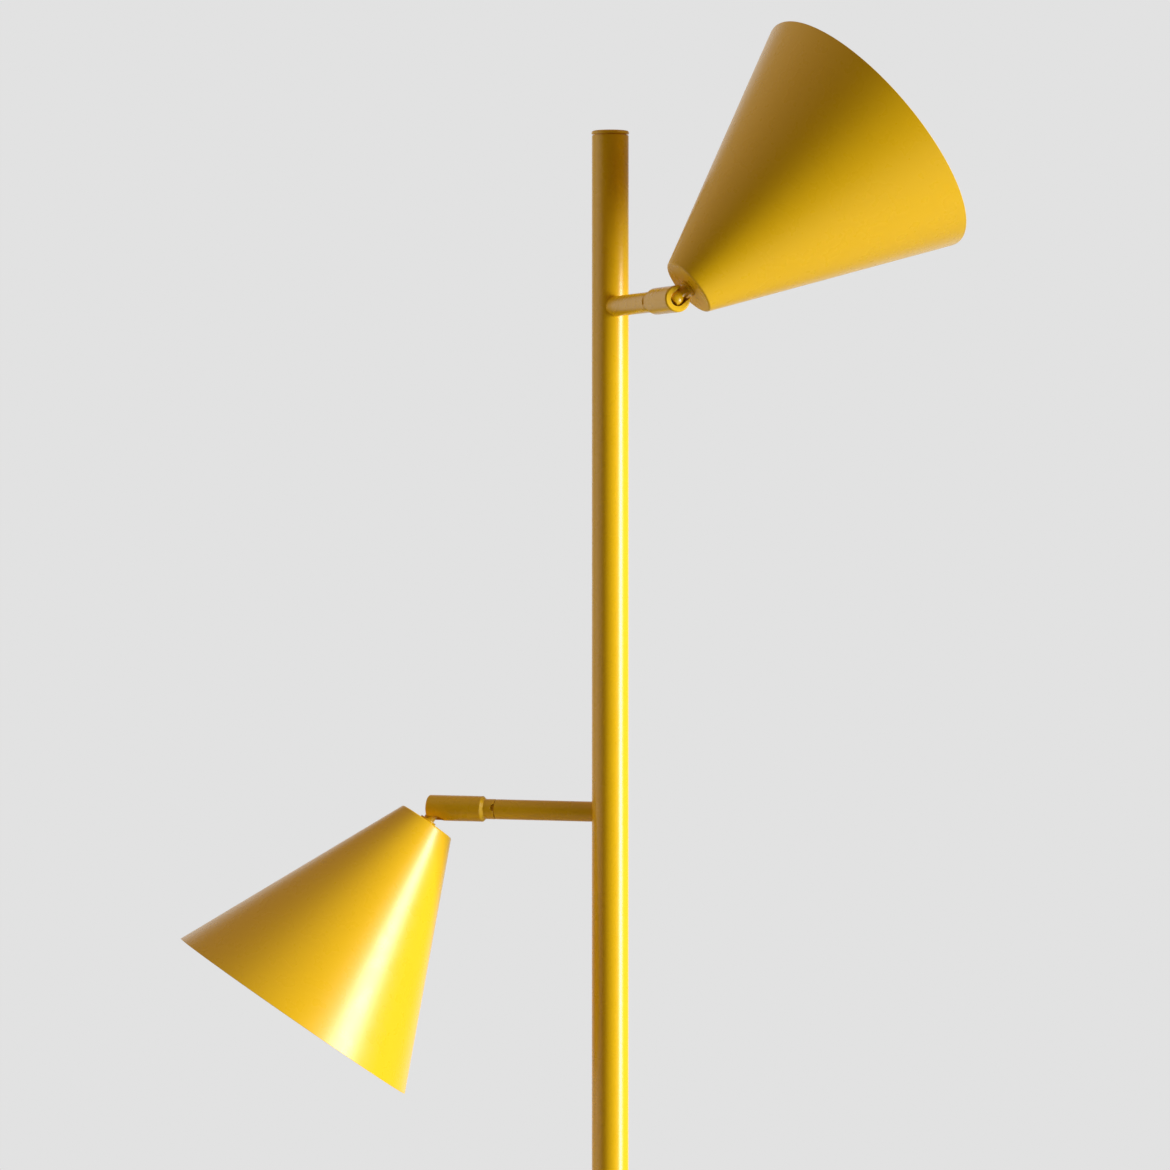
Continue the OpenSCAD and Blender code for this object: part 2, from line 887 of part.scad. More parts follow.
module ball_stud(head) {
    stud_len = shade_offset + stud_end;
    color(paint)
        at_ball(head)
            difference() {
                union() {
                    intersection() {
                        sphere(r = ball_r);
                        rod(-ball_back, ball_back + ball_r, ball_r + cut);
                    }
                    rod(0, stud_len, stud_r);
                    rod(shade_offset - flange_t, flange_t, flange_d / 2);
                }
                rod(-ball_d, stud_len + 2 * ball_d, stud_bore / 2);
            }
}

// ---- Shade ----

// Points of the round between the flat end and the cone, for the outer or inner skin
function shade_corner(radius) =
    let (
        centre_r = shade_end_d / 2 + shade_round * tan(shade_slope) - shade_round / cos(shade_slope)
    )
    arc(centre_r, shade_round, radius, -90, -shade_slope, round_steps);

module shade(head) {
    // The wall measured across the axis, where the rim is cut square
    rim_wall = shade_wall / cos(shade_slope);
    inner_corner = shade_corner(shade_round - shade_wall);
    color(paint)
        at_shade(head)
            turned(concat(
                [[stud_hole_r, 0]],
                shade_corner(shade_round),
                [[shade_rim_d / 2, shade_len], [shade_rim_d / 2 - rim_wall, shade_len]],
                [for (i = [len(inner_corner) - 1 : -1 : 0]) inner_corner[i]],
                [[stud_hole_r, shade_wall]]
            ));
}

module lock_washer(head) {
    color(steel)
        at_shade(head)
            ring(washer_s, lock_washer_t, stud_nut_af / 2 + 0.5, stud_hole_r);
}

module stud_nut(head) {
    color(brass)
        at_shade(head)
            difference() {
                hexagon(stud_nut_s, stud_nut_h, stud_nut_af);
                rod(0, stud_end, stud_r + fit_gap);
            }
}

// ---- Lampholder ----

module socket_cap(head) {
    cap_len = socket_cap_len;
    inner_r = socket_r - socket_wall;
    color(white_plastic)
        at_shade(head)
            turned([
                [stud_r + fit_gap, socket_s],
                [socket_neck_r, socket_s],
                [socket_neck_r, socket_s + stud_tail],
                [socket_r, socket_s + cap_len * 0.65],
                [socket_r, barrel_s],
                [inner_r, barrel_s],
                [inner_r, socket_s + cap_len * 0.75],
                [socket_neck_r - 1, socket_s + stud_tail + 1.5],
                [stud_r + fit_gap, socket_s + stud_tail + 1.5]
            ]);
}

module socket_barrel(head) {
    inner_r = socket_r - socket_wall;
    barrel_end = barrel_s + socket_len;
    color(white_plastic)
        at_shade(head)
            difference() {
                turned([
                    [0, floor_s],
                    [inner_r, floor_s],
                    [inner_r, barrel_s],
                    [socket_r, barrel_s],
                    [socket_r, barrel_end - 1],
                    [socket_r - 1, barrel_end],
                    [inner_r, barrel_end],
                    [inner_r, floor_top],
                    [0, floor_top]
                ]);
                for (side = [-1, 1])
                    translate([0, side * shell_r, 0])
                        rod(floor_s - cut, socket_floor + 2 * cut, 1);
            }
}

module screw_shell(head) {
    color(brass)
        at_shade(head)
            turned([
                [shell_r - 2, floor_top],
                [shell_r + shell_wall, floor_top],
                [shell_r + shell_wall, floor_top + shell_h],
                [shell_r, floor_top + shell_h],
                [shell_r, floor_top + shell_wall],
                [shell_r - 2, floor_top + shell_wall]
            ]);
}

// A bent leaf that the bulb's contact bears on
module centre_contact(head) {
    leaf_w = 4;
    leaf_t = 0.5;
    color(brass)
        at_shade(head)
            translate([floor_top, leaf_w / 2, 0])
                rotate([90, 0, 0])
                    linear_extrude(leaf_w)
                        polygon([
                            [0, -contact_r],
                            [leaf_t, -contact_r],
                            [leaf_t, contact_r / 2],
                            [contact_h - leaf_t, -contact_r / 2],
                            [contact_h, -contact_r / 2],
                            [contact_h, 0],
                            [leaf_t, contact_r],
                            [0, contact_r]
                        ]);
}

// ---- Bulb ----

module bulb_cap(head) {
    wall = 0.6;
    flare_s = bulb_glass_s - 3;
    thread_s = bulb_s + 5;
    color(brass)
        at_shade(head)
            turned([
                [0, bulb_s],
                [contact_r, bulb_s],
                [contact_r, bulb_s + 1.5],
                [bulb_cap_r - 0.8, thread_s - 1],
                [bulb_cap_r, thread_s],
                [bulb_cap_r, flare_s],
                [bulb_neck_r, bulb_glass_s - 1],
                [bulb_neck_r, bulb_glass_s],
                [bulb_neck_r - wall, bulb_glass_s],
                [bulb_cap_r - wall, flare_s + wall],
                [bulb_cap_r - wall, thread_s + 1],
                [0, thread_s + 1]
            ]);
}

// Half section of one skin of the glass, inset from the outside by the given depth
function glass_skin(inset) = concat(
    [[bulb_neck_r - inset, bulb_glass_s]],
    arc(bulb_neck_r + neck_fillet, neck_fillet_s, neck_fillet + inset, 180, 90 + neck_turn, 8),
    arc(0, bulb_centre, bulb_r - inset, neck_turn - 90, 90, 20)
);

// Opal glass, open at its neck
module bulb_glass(head) {
    inner = glass_skin(glass_wall);
    color(opal)
        at_shade(head)
            turned(concat(
                glass_skin(0),
                [for (i = [len(inner) - 1 : -1 : 0]) inner[i]]
            ));
}

// ---- Named pieces of the two heads ----

module upper_arm() arm(upper);
module upper_arm_bush() arm_bush(upper);
module upper_friction_washer() friction_washer(upper);
module upper_stop_pin() stop_pin(upper);
module upper_lead() lead(upper);
module upper_spindle() spindle(upper);
module upper_spindle_nut() spindle_nut(upper);
module upper_swivel_spring() swivel_spring(upper);
module upper_neck() neck(upper);
module upper_holder() holder(upper);
module upper_ball_seat() ball_seat(upper);
module upper_seat_spring() seat_spring(upper);
module upper_ball_stud() ball_stud(upper);
module upper_shade() shade(upper);
module upper_lock_washer() lock_washer(upper);
module upper_stud_nut() stud_nut(upper);
module upper_socket_cap() socket_cap(upper);
module upper_socket_barrel() socket_barrel(upper);
module upper_screw_shell() screw_shell(upper);
module upper_centre_contact() centre_contact(upper);
module upper_bulb_cap() bulb_cap(upper);
module upper_bulb_glass() bulb_glass(upper);

module lower_arm() arm(lower);
module lower_arm_bush() arm_bush(lower);
module lower_friction_washer() friction_washer(lower);
module lower_stop_pin() stop_pin(lower);
module lower_lead() lead(lower);
module lower_spindle() spindle(lower);
module lower_spindle_nut() spindle_nut(lower);
module lower_swivel_spring() swivel_spring(lower);
module lower_neck() neck(lower);
module lower_holder() holder(lower);
module lower_ball_seat() ball_seat(lower);
module lower_seat_spring() seat_spring(lower);
module lower_ball_stud() ball_stud(lower);
module lower_shade() shade(lower);
module lower_lock_washer() lock_washer(lower);
module lower_stud_nut() stud_nut(lower);
module lower_socket_cap() socket_cap(lower);
module lower_socket_barrel() socket_barrel(lower);
module lower_screw_shell() screw_shell(lower);
module lower_centre_contact() centre_contact(lower);
module lower_bulb_cap() bulb_cap(lower);
module lower_bulb_glass() bulb_glass(lower);

pole_lower();
pole_upper();
pole_coupler();
coupler_screws();
pole_cap();
pole_foot();
foot_collar();
base_cover();
base_weight();
base_washer();
base_nut();
base_pad();
cable_inlet();
terminal_block();
terminal_screws();
upper_arm();
upper_arm_bush();
upper_friction_washer();
upper_stop_pin();
upper_lead();
upper_spindle();
upper_spindle_nut();
upper_swivel_spring();
upper_neck();
upper_holder();
upper_ball_seat();
upper_seat_spring();
upper_ball_stud();
upper_shade();
upper_lock_washer();
upper_stud_nut();
upper_socket_cap();
upper_socket_barrel();
upper_screw_shell();
upper_centre_contact();
upper_bulb_cap();
upper_bulb_glass();
lower_arm();
lower_arm_bush();
lower_friction_washer();
lower_stop_pin();
lower_lead();
lower_spindle();
lower_spindle_nut();
lower_swivel_spring();
lower_neck();
lower_holder();
lower_ball_seat();
lower_seat_spring();
lower_ball_stud();
lower_shade();
lower_lock_washer();
lower_stud_nut();
lower_socket_cap();
lower_socket_barrel();
lower_screw_shell();
lower_centre_contact();
lower_bulb_cap();
lower_bulb_glass();
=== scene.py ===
import json
import math

import bmesh
import bpy
from mathutils import Matrix, Vector

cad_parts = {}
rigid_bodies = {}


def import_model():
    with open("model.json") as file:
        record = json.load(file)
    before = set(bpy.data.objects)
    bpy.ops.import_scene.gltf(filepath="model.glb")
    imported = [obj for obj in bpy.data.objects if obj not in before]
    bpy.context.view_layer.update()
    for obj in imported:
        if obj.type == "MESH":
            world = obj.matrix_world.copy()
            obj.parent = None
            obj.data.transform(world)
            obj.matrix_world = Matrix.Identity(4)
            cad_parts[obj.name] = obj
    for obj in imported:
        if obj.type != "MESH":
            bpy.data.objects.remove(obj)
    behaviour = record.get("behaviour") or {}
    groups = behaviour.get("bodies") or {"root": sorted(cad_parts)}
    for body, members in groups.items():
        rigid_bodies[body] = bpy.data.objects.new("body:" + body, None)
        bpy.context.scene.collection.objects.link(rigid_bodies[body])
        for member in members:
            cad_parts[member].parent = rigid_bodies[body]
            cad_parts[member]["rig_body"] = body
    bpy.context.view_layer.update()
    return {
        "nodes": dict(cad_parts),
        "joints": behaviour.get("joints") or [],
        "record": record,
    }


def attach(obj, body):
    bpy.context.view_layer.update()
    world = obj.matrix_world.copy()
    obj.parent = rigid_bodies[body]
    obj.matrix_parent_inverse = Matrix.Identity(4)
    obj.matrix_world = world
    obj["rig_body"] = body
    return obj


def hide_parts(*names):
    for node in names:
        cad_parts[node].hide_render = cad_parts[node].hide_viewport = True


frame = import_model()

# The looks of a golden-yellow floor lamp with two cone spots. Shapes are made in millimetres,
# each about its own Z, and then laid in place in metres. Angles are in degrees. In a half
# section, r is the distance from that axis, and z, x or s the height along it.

MM = 0.001
AROUND = 160  # faces round a turned piece
MERGE = 1e-4  # points nearer to each other than this become one
CUT = 5  # how far a cutter reaches past a wall
CREASE = 40  # edges that turn by more than this are shaded sharp
UP = Vector((0, 0, 1))
JOINTS = {joint["name"]: joint for joint in frame["joints"]}
SLOTS = {part["node"]: part["material_slot"] for part in frame["record"]["subparts"]}


# ---- Shapes ----

def arc(r, z, radius, start, end, steps=10):
    """Points on an arc about (r, z) in a half section, as (radius, height)."""
    angles = [math.radians(start + (end - start) * i / steps) for i in range(steps + 1)]
    return [(r + radius * math.cos(a), z + radius * math.sin(a)) for a in angles]


def turned(outline, around=AROUND, closed=True):
    """A solid turned about Z from its half section; an open outline starts and ends on the axis."""
    bm = bmesh.new()
    corners = [bm.verts.new((r, 0, z)) for r, z in outline]
    nexts = corners[1:] + corners[:1] if closed else corners[1:]
    sides = [bm.edges.new(pair) for pair in zip(corners, nexts)]
    bmesh.ops.spin(bm, geom=corners + sides, cent=(0, 0, 0), axis=(0, 0, 1),
                   angle=2 * math.pi, steps=around, use_merge=True)
    bmesh.ops.remove_doubles(bm, verts=bm.verts, dist=MERGE)
    bmesh.ops.recalc_face_normals(bm, faces=bm.faces)
    return bm


def prism(outline, low, high):
    """A prism on Z with a flat outline of (x, y) points."""
    bm = bmesh.new()
    bottom = bm.faces.new([bm.verts.new((x, y, low)) for x, y in outline])
    raised = bmesh.ops.extrude_face_region(bm, geom=[bottom])["geom"]
    tops = [v for v in raised if isinstance(v, bmesh.types.BMVert)]
    bmesh.ops.translate(bm, verts=tops, vec=(0, 0, high - low))
    bmesh.ops.recalc_face_normals(bm, faces=bm.faces)
    return bm


def rod(radius, low, high, around=64):
    """A plain rod on Z, used as a cutter."""
    return turned([(0, low), (radius, low), (radius, high), (0, high)], around, closed=False)


def soften(bm, width, steps=3, sharper_than=28):
    """Rounds every edge that turns by more than the given angle."""
    limit = math.radians(sharper_than)
    edges = [e for e in bm.edges if e.is_manifold and e.calc_face_angle() > limit]
    bmesh.ops.bevel(bm, geom=edges, offset=width, offset_type="OFFSET", segments=steps,
                    profile=0.5, affect="EDGES", material=-1, clamp_overlap=True)
    return bm


def meshed(name, bm):
    """A mesh that takes over what a bmesh holds."""
    mesh = bpy.data.meshes.new(name)
    bm.to_mesh(mesh)
    bm.free()
    return mesh


def added(name, data):
    """A new object in the scene."""
    made = bpy.data.objects.new(name, data)
    bpy.context.scene.collection.objects.link(made)
    return made


def carved(bm, *cutters):
    """The solid less its cutters."""
    solid, *tools = [added("cutting", meshed("cutting", shape)) for shape in (bm, *cutters)]
    for tool in tools:
        cut = solid.modifiers.new("cut", "BOOLEAN")
        cut.operation = "DIFFERENCE"
        cut.solver = "EXACT"
        cut.object = tool
    left = bmesh.new()
    left.from_object(solid, bpy.context.evaluated_depsgraph_get())
    for used in (solid, *tools):
        bpy.data.objects.remove(used)
    return left


def laid(origin, along, facing):
    """A place with its origin in metres, its Z along one direction and its X turned to another."""
    z = along.normalized()
    x = (facing - facing.project(z)).normalized()
    turn = Matrix((x, z.cross(x), z)).transposed().to_4x4()
    return Matrix.Translation(origin) @ turn @ Matrix.Scale(MM, 4)


STANDING = Matrix.Scale(MM, 4)


def piece(name, bm, place, node, *finishes):
    """Lays a finished mesh in its place, where it stands for its CAD node."""
    bm.transform(place)
    mesh = meshed(name, bm)
    for finish in finishes:
        mesh.materials.append(finish)
    mesh.shade_smooth()
    mesh.set_sharp_from_angle(angle=math.radians(CREASE))
    made = added(name, mesh)
    made.modifiers.new("even shading", "WEIGHTED_NORMAL").keep_sharp = True
    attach(made, frame["nodes"][node]["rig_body"])
    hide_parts(node)


# ---- Finishes ----

NOISE_LOW, NOISE_HIGH = 0.3, 0.7  # most of the grain's values lie between these


def feed(tree, source, socket):
    """Links a socket to its source, or sets it where the source is a plain value."""
    if isinstance(source, bpy.types.NodeSocket):
        tree.links.new(source, socket)
    else:
        socket.default_value = source


def mixed(tree, factor, first, second):
    """A colour between two others, by a factor from nought to one."""
    mix = tree.nodes.new("ShaderNodeMix")
    mix.data_type = "RGBA"
    for socket, source in (("Factor", factor), ("A", first), ("B", second)):
        feed(tree, source, mix.inputs[socket])
    return mix.outputs["Result"]


def seen_by_camera(tree):
    """One for what the camera sees directly, and nought for light that bounces."""
    return tree.nodes.new("ShaderNodeLightPath").outputs["Is Camera Ray"]


class Finish:
    """A procedural material on the piece's own coordinates, with features sized in millimetres."""

    def __init__(self, name, colour, roughness, metallic=0.0):
        self.material = bpy.data.materials.new(name)
        self.material.use_nodes = True
        self.material.diffuse_color = (*colour, 1)
        self.tree = self.material.node_tree
        self.nodes, self.links = self.tree.nodes, self.tree.links
        self.shader = self.nodes["Principled BSDF"]
        self.colour = colour
        self.roughness = roughness
        self.set("Base Color", (*colour, 1))
        self.set("Roughness", roughness)
        self.set("Metallic", metallic)
        self.set("IOR", 1.5)
        self.place = self.nodes.new("ShaderNodeTexCoord").outputs["Object"]

    def set(self, socket, value):
        feed(self.tree, value, self.shader.inputs[socket])

    def grain(self, size, detail=2.0, stretch=(1, 1, 1)):
        """Soft random grain with features of about the given size."""
        mapping = self.nodes.new("ShaderNodeMapping")
        mapping.inputs["Scale"].default_value = [1 / s for s in stretch]
        noise = self.nodes.new("ShaderNodeTexNoise")
        noise.inputs["Scale"].default_value = 1 / (size * MM)
        noise.inputs["Detail"].default_value = detail
        self.links.new(self.place, mapping.inputs["Vector"])
        self.links.new(mapping.outputs["Vector"], noise.inputs["Vector"])
        return noise.outputs["Fac"]

    def specks(self, spacing, size):
        """One where a speck lies, at about the given spacing, and nought elsewhere."""
        rim = size / spacing
        core = 0.6 * size / spacing
        cells = self.nodes.new("ShaderNodeTexVoronoi")
        cells.inputs["Scale"].default_value = 1 / (spacing * MM)
        self.links.new(self.place, cells.inputs["Vector"])
        return self.between(cells.outputs["Distance"], rim, core, 0, 1)

    def between(self, source, low, high, to_low, to_high):
        """The source's range from low to high, spread over another range."""
        spread = self.nodes.new("ShaderNodeMapRange")
        for socket, value in (("From Min", low), ("From Max", high),
                              ("To Min", to_low), ("To Max", to_high)):
            spread.inputs[socket].default_value = value
        self.links.new(source, spread.inputs["Value"])
        return spread.outputs["Result"]

    def tint(self, source, other):
        """Varies the colour between its own and another, by the source."""
        self.set("Base Color", mixed(self.tree, source, (*self.colour, 1), (*other, 1)))

    def mottle_gloss(self, source, spread):
        """Varies the roughness either side of its own value, by the source."""
        self.set("Roughness", self.between(source, NOISE_LOW, NOISE_HIGH,
                                           self.roughness - spread, self.roughness + spread))

    def relief(self, *layers, edge=0.0):
        """Bumps of (source, height), on edges rounded by the given radius."""
        before = None
        if edge:
            rounded = self.nodes.new("ShaderNodeBevel")
            rounded.samples = 6
            rounded.inputs["Radius"].default_value = edge * MM
            before = rounded.outputs["Normal"]
        for source, height in layers:
            bump = self.nodes.new("ShaderNodeBump")
            bump.inputs["Distance"].default_value = height * MM
            self.links.new(source, bump.inputs["Height"])
            if before:
                self.links.new(before, bump.inputs["Normal"])
            before = bump.outputs["Normal"]
        self.set("Normal", before)


def powder_coat(name, colour, shade_colour, roughness):
    """Smooth powder coat: an even colour, slight orange peel, a few dust nibs and a soft sheen."""
    cloud, sheen_patch, peel, fine_peel, nib_spacing, nib = 60, 9, 2.6, 0.5, 12, 0.4
    coat = Finish(name, colour, roughness)
    coat.tint(coat.grain(cloud), shade_colour)
    coat.mottle_gloss(coat.grain(sheen_patch), spread=0.02)
    coat.relief((coat.grain(peel), 0.004), (coat.grain(fine_peel), 0.0012),
                (coat.specks(nib_spacing, nib), 0.02), edge=0.2)
    return coat.material


def zinc_plate():
    """Zinc plate that is slightly clouded, with a fine brushed grain."""
    cloud, sheen_patch, brushing, brushing_stretch = 3, 1, 0.4, 8
    plate = Finish("zinc_plated_steel", (0.60, 0.60, 0.58), 0.32, metallic=1)
    plate.tint(plate.grain(cloud), (0.48, 0.49, 0.50))
    plate.mottle_gloss(plate.grain(sheen_patch), spread=0.06)
    plate.relief((plate.grain(brushing, stretch=(1, 1, brushing_stretch)), 0.01), edge=0.15)
    return plate.material


def bare_brass():
    """Unlacquered brass that has dulled in patches."""
    tarnish, sheen_patch, pit = 5, 2, 0.3
    brass = Finish("bare_brass", (0.76, 0.56, 0.24), 0.28, metallic=1)
    brass.tint(brass.grain(tarnish), (0.60, 0.40, 0.16))
    brass.mottle_gloss(brass.grain(sheen_patch), spread=0.08)
    brass.relief((brass.grain(pit), 0.004), edge=0.15)
    return brass.material


def cast_iron():
    """Rough cast iron under a dull black primer."""
    patch, sheen_patch, casting_grain = 12, 3, 1.2
    iron = Finish("primed_cast_iron", (0.035, 0.035, 0.038), 0.62)
    iron.tint(iron.grain(patch), (0.060, 0.058, 0.056))
    iron.mottle_gloss(iron.grain(sheen_patch), spread=0.08)
    iron.relief((iron.grain(casting_grain, detail=6), 0.25), edge=0.4)
    return iron.material


def black_rubber():
    """Matt moulded rubber."""
    patch, sheen_patch, mould_grain = 10, 3, 0.35
    rubber = Finish("black_rubber", (0.022, 0.022, 0.023), 0.66)
    rubber.tint(rubber.grain(patch), (0.034, 0.034, 0.034))
    rubber.mottle_gloss(rubber.grain(sheen_patch), spread=0.06)
    rubber.relief((rubber.grain(mould_grain, detail=4), 0.05), edge=0.25)
    return rubber.material


def pressed_fibre():
    """Dark fibre board with its fibres showing."""
    fleck, fibre_grain = 0.6, 0.3
    fibre = Finish("pressed_fibre", (0.045, 0.036, 0.028), 0.75)
    fibre.tint(fibre.grain(fleck, detail=5), (0.085, 0.070, 0.052))
    fibre.relief((fibre.grain(fibre_grain, detail=5), 0.04))
    return fibre.material


def white_thermoplastic():
    """Slightly creamy moulded plastic."""
    cloud, sheen_patch, mould_grain = 20, 4, 0.6
    plastic = Finish("white_thermoplastic", (0.80, 0.79, 0.75), 0.38)
    plastic.tint(plastic.grain(cloud), (0.75, 0.735, 0.69))
    plastic.mottle_gloss(plastic.grain(sheen_patch), spread=0.04)
    plastic.relief((plastic.grain(mould_grain), 0.006), edge=0.2)
    return plastic.material


def opal_glass():
    """Glossy milk-white glass that light sinks into a little."""
    cloud, ripple = 30, 8
    glass = Finish("opal_glass", (0.88, 0.87, 0.83), 0.09)
    glass.tint(glass.grain(cloud), (0.84, 0.83, 0.80))
    glass.set("Subsurface Weight", 0.5)
    glass.set("Subsurface Radius", (0.006, 0.006, 0.005))
    glass.relief((glass.grain(ripple), 0.02))
    return glass.material


PAINT = powder_coat("golden_powder_coat", (0.82, 0.495, 0.0055), (0.805, 0.482, 0.005), 0.28)
ENAMEL = powder_coat("white_shade_lining", (0.64, 0.63, 0.60), (0.62, 0.61, 0.575), 0.42)
FINISHES = {
    "yellow_paint": PAINT,
    "steel": zinc_plate(),
    "brass": bare_brass(),
    "iron": cast_iron(),
    "rubber": black_rubber(),
    "black_fibre": pressed_fibre(),
    "white_plastic": white_thermoplastic(),
    "opal_glass": opal_glass(),
}


# ---- Pole ----

POLE_R = 11
POLE_BORE_R = 9.8
SEAM_Z = 750
POLE_TOP = 1497.2
POLE_BOTTOM = 26
LAMP_H = 1500
GRUB_Z = (730, 770)
GRUB_HOLE_R = 2.1
WIRE_HOLE_R = 4


def tube_section(inner, outer, low, high):
    """The half section of a plain tube."""
    return [(inner, low), (outer, low), (outer, high), (inner, high)]


def side_hole(radius, z, direction):
    """A cutter through one side of the pole."""
    hole = rod(radius, 0, POLE_R + CUT)
    turn = Vector(direction).to_track_quat("Z", "Y").to_matrix().to_4x4()
    hole.transform(Matrix.Translation((0, 0, z)) @ turn)
    return hole


def pole_tubes():
    """Two tubes with holes for the grub screws at the back and for each arm's lead."""
    edge, back = 0.15, (0, 1, 0)
    low = soften(turned(tube_section(POLE_BORE_R, POLE_R, POLE_BOTTOM, SEAM_Z)), edge)
    high = soften(turned(tube_section(POLE_BORE_R, POLE_R, SEAM_Z, POLE_TOP)), edge)
    arm_holes = [side_hole(WIRE_HOLE_R, head.height / MM, head.arm) for head in HEADS]
    piece("lower_pole_tube", carved(low, side_hole(GRUB_HOLE_R, GRUB_Z[0], back)),
          STANDING, "pole_lower", PAINT)
    piece("upper_pole_tube", carved(high, side_hole(GRUB_HOLE_R, GRUB_Z[1], back), *arm_holes),
          STANDING, "pole_upper", PAINT)


def pole_top_cap():
    """A disc just wider than the tube, held off it by a shadow gap, on a spigot."""
    disc_r, edge_r, gap, gap_r = 11.2, 1.2, 0.8, 10.1
    spigot_r, spigot_len, lead_in = 9.75, 12, 1
    outline = [
        (0, POLE_TOP - spigot_len),
        (spigot_r - lead_in, POLE_TOP - spigot_len),
        (spigot_r, POLE_TOP - spigot_len + lead_in),
        (spigot_r, POLE_TOP),
        (gap_r, POLE_TOP),
        (gap_r, POLE_TOP + gap),
        (disc_r, POLE_TOP + gap),
        *arc(disc_r - edge_r, LAMP_H - edge_r, edge_r, 0, 90),
        (0, LAMP_H),
    ]
    cap = soften(turned(outline, closed=False), width=0.12)
    piece("pole_top_cap", cap, STANDING, "pole_cap", PAINT)


# ---- Base ----

COVER_TOP = 24
FOOT_HOLE_R = 7.2
BASE_R = 130
INLET_Z = 7.2


def foot_collar():
    """The turned collar on the cover that the pole stands in."""
    radius, height, edge_r, clearance = 17, 10, 1.5, 0.05
    seat_r = POLE_R + clearance
    outline = [
        (FOOT_HOLE_R, COVER_TOP),
        (radius, COVER_TOP),
        *arc(radius - edge_r, COVER_TOP + height - edge_r, edge_r, 0, 90),
        (seat_r, COVER_TOP + height),
        (seat_r, POLE_BOTTOM),
        (FOOT_HOLE_R, POLE_BOTTOM),
    ]
    collar = soften(turned(outline), width=0.25)
    piece("pole_foot_collar", collar, STANDING, "foot_collar", PAINT)


def base_cover():
    """A spun steel cover that falls a little from its flat middle to a rounded edge."""
    wall, fall, edge_r, lowest, flat_r = 1.2, 3, 8, 1, 20
    edge_x, edge_z, edge_steps = BASE_R - edge_r, COVER_TOP - fall - edge_r, 14
    inlet_hole_r = 4.45
    outline = [
        (FOOT_HOLE_R, COVER_TOP),
        (flat_r, COVER_TOP),
        *arc(edge_x, edge_z, edge_r, 90, 0, edge_steps),
        (BASE_R, lowest),
        (BASE_R - wall, lowest),
        *arc(edge_x, edge_z, edge_r - wall, 0, 90, edge_steps),
        (flat_r, COVER_TOP - wall),
        (FOOT_HOLE_R, COVER_TOP - wall),
    ]
    hole = rod(inlet_hole_r, BASE_R - CUT, BASE_R + CUT)
    hole.transform(Matrix.Translation((0, 0, INLET_Z)) @ Matrix.Rotation(math.radians(-90), 4, "X"))
    cover = carved(soften(turned(outline, around=256), width=0.3), hole)
    piece("spun_base_cover", cover, STANDING, "base_cover", PAINT)


def base_pad():
    """The pad's underside has round grooves that keep it from sliding."""
    radius, thickness, groove_w, groove_depth, slant = 126, 2, 3, 0.7, 0.4
    outline = [(0, thickness), (radius, thickness), (radius, 0)]
    for groove_r in (120, 100, 80, 60, 40):
        outline += [
            (groove_r, 0),
            (groove_r - slant, groove_depth),
            (groove_r - groove_w, groove_depth),
            (groove_r - groove_w - slant, 0),
        ]
    outline += [(0, 0)]
    pad = soften(turned(outline, around=200, closed=False), width=0.3)
    piece("grooved_base_pad", pad, STANDING, "base_pad", FINISHES["rubber"])


def cable_grommet():
    """A rubber sleeve that snaps into the cover with a barb behind the wall."""
    bore, barrel, flange, barb = 3.25, 4.4, 5.5, 4.9
    inner_len, flange_t, barb_len, behind_wall = 6, 2, 1.4, 1.5
    flange_edge, bore_edge, edge_steps = 1, 0.6, 6
    outline = [
        (bore, BASE_R - inner_len),
        (barrel, BASE_R - inner_len),
        (barrel, BASE_R - behind_wall - barb_len),
        (barb, BASE_R - behind_wall),
        (barrel, BASE_R - behind_wall),
        (barrel, BASE_R),
        (flange, BASE_R),
        *arc(flange - flange_edge, BASE_R + flange_t - flange_edge, flange_edge, 0, 90, edge_steps),
        *arc(bore + bore_edge, BASE_R + flange_t - bore_edge, bore_edge, 90, 180, edge_steps),
    ]
    place = laid((0, 0, INLET_Z * MM), Vector((0, 1, 0)), UP)
    grommet = soften(turned(outline, around=96), width=0.12)
    piece("cable_grommet", grommet, place, "cable_inlet", FINISHES["rubber"])


# ---- Heads ----

# On an arm, x is the distance from the pole's axis. Inside a shade, s is the distance from its
# flat end.

ARM_R = 6.05
ARM_BORE_R = 4.85
ARM_END = 72.2
NECK_X = 72.4
NECK_R = 6.1
CONE_X = 79
HOLDER_X = 80.8
HOLDER_R = 7.75
HOLDER_END = 115.6
HOLDER_BORE_R = 5.7
BALL_R = 5.05
BALL_BACK = 2.2
MOUTH_R = 4.3
STUD_R = 3.4
LEAD_BORE_R = 1.8
SHADE_OFFSET = 10.3  # from the ball's centre to the shade's flat end
SHADE_WALL = 0.8
NOTCH_TURN = {"upper": 270, "lower": 104}  # where each neck's notch lies, from straight down


class Head:
    """Where one head's pieces lie, read from its two joints."""

    def __init__(self, name):
        swivel, tilt = JOINTS[name + "_swivel"], JOINTS[name + "_tilt"]
        hinge = Vector(tilt["axis"])
        rest_tilt = math.radians(-tilt["range_deg"][0])
        self.name = name
        self.arm = Vector(swivel["axis"])
        self.height = swivel["pos_m"][2]
        self.slot = hinge.cross(self.arm)
        self.ball = Vector(tilt["pos_m"])
        self.aim = Matrix.Rotation(rest_tilt, 3, hinge) @ self.arm

    def across(self, turn):
        """The direction square to the arm that is turned from straight down."""
        side = UP.cross(self.arm)
        return math.sin(math.radians(turn)) * side - math.cos(math.radians(turn)) * UP

    def on_arm(self, facing=UP):
        return laid((0, 0, self.height), self.arm, facing)

    def on_ball(self):
        return laid(self.ball, self.aim, self.slot)

    def on_shade(self):
        return laid(self.ball + self.aim * SHADE_OFFSET * MM, self.aim, self.slot)


HEADS = [Head("upper"), Head("lower")]


